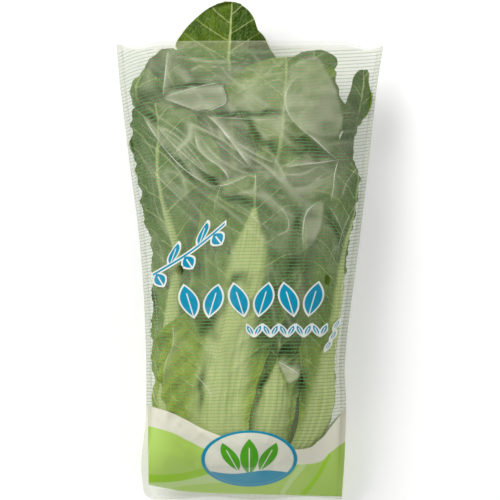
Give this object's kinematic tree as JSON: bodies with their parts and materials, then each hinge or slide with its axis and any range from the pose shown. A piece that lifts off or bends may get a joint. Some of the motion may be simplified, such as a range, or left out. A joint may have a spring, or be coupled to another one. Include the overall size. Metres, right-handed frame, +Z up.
{
  "type": "romaine lettuce head in a film sleeve",
  "caption": "Long romaine lettuce head of nested waved leaves on a short stem, lying on its back in an open-topped, vented film sleeve.",
  "frame": {"origin": "on the surface that the sleeve rests on, under the middle of the whole object", "axes": "+Y from the cut stem to the leaf tips, +Z up, out of the front of the sleeve"},
  "size_m": [0.194, 0.3581, 0.0992],
  "materials": {
    "leaf_outer": "waxy green leaf blade with a pale rib",
    "leaf_heart": "yellow-green inner leaf with a pale rib",
    "stem": "pale firm stem, cut across",
    "film": "glossy hazy film with printed stripes and foot"
  },
  "bodies": {
    "root": {"stem": "stem", "leaf_01": "leaf_outer", "leaf_02": "leaf_outer", "leaf_03": "leaf_outer", "leaf_04": "leaf_outer", "leaf_05": "leaf_outer", "leaf_06": "leaf_outer", "leaf_07": "leaf_outer", "leaf_08": "leaf_outer", "leaf_09": "leaf_outer", "leaf_10": "leaf_outer", "leaf_11": "leaf_outer", "leaf_12": "leaf_outer", "leaf_13": "leaf_outer", "leaf_14": "leaf_outer", "leaf_15": "leaf_heart", "leaf_16": "leaf_heart", "leaf_17": "leaf_heart", "leaf_18": "leaf_heart", "leaf_19": "leaf_heart", "leaf_20": "leaf_heart", "leaf_21": "leaf_heart", "leaf_22": "leaf_heart", "sleeve": "film"}
  },
  "joints": []
}
